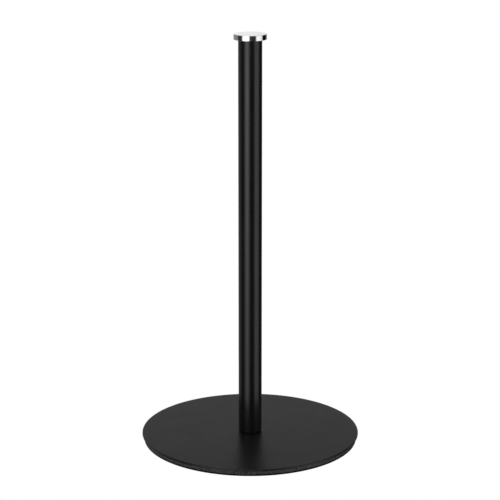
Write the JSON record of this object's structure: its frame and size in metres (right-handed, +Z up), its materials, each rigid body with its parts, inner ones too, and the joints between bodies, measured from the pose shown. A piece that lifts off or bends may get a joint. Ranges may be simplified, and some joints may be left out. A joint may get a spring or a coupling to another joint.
{
  "type": "paper towel holder",
  "caption": "Free-standing paper towel holder: a thin round weighted base, a plain upright tube that the roll slides over, and a flat chrome cap that unscrews.",
  "frame": {"origin": "centre of the pad's underside, which is the face that stands on the worktop", "axes": "+Z up along the pole; the object is round, so +X and +Y may be turned freely about it"},
  "size_m": [0.18, 0.18, 0.338],
  "materials": {
    "satin_black": "satin black powder coat on steel, with a fine even texture",
    "black_iron": "cast iron with a thin dull black paint",
    "pad_foam": "dull black non-slip foam rubber",
    "zinc_steel": "bright zinc-plated steel",
    "black_nylon": "moulded black nylon, matt",
    "insert_brass": "turned brass, unpolished",
    "cap_chrome": "polished chrome plate"
  },
  "bodies": {
    "base": {"base_plate": "satin_black", "ballast_disc": "black_iron", "non_slip_pad": "pad_foam", "base_screw": "zinc_steel", "lock_washer": "zinc_steel", "thin_nut": "zinc_steel"},
    "pole_seat": {"foot_ring": "black_nylon"},
    "pole": {"pole_tube": "satin_black", "lower_insert": "insert_brass", "upper_insert": "insert_brass"},
    "cap_seat": {"cap_washer": "black_nylon"},
    "cap": {"chrome_cap": "cap_chrome", "cap_set_screw": "zinc_steel"}
  },
  "joints": [
    {"name": "pole_lift", "type": "slide", "parent": "base", "child": "pole_seat", "axis": [0, 0, 1], "range_m": [0, 0.012]},
    {"name": "pole_unscrew", "type": "hinge", "parent": "pole_seat", "child": "pole", "pos_m": [0, 0, 0.0068], "axis": [0, 0, 1], "range_deg": [0, 5400]},
    {"name": "cap_lift", "type": "slide", "parent": "pole", "child": "cap_seat", "axis": [0, 0, 1], "range_m": [0, 0.0088]},
    {"name": "cap_unscrew", "type": "hinge", "parent": "cap_seat", "child": "cap", "pos_m": [0, 0, 0.3337], "axis": [0, 0, 1], "range_deg": [0, 3960]}
  ],
  "couplings": [
    {"joint": "pole_lift", "follows": "pole_unscrew", "m_per_rad": 0.00012732},
    {"joint": "cap_lift", "follows": "cap_unscrew", "m_per_rad": 0.00012732}
  ]
}
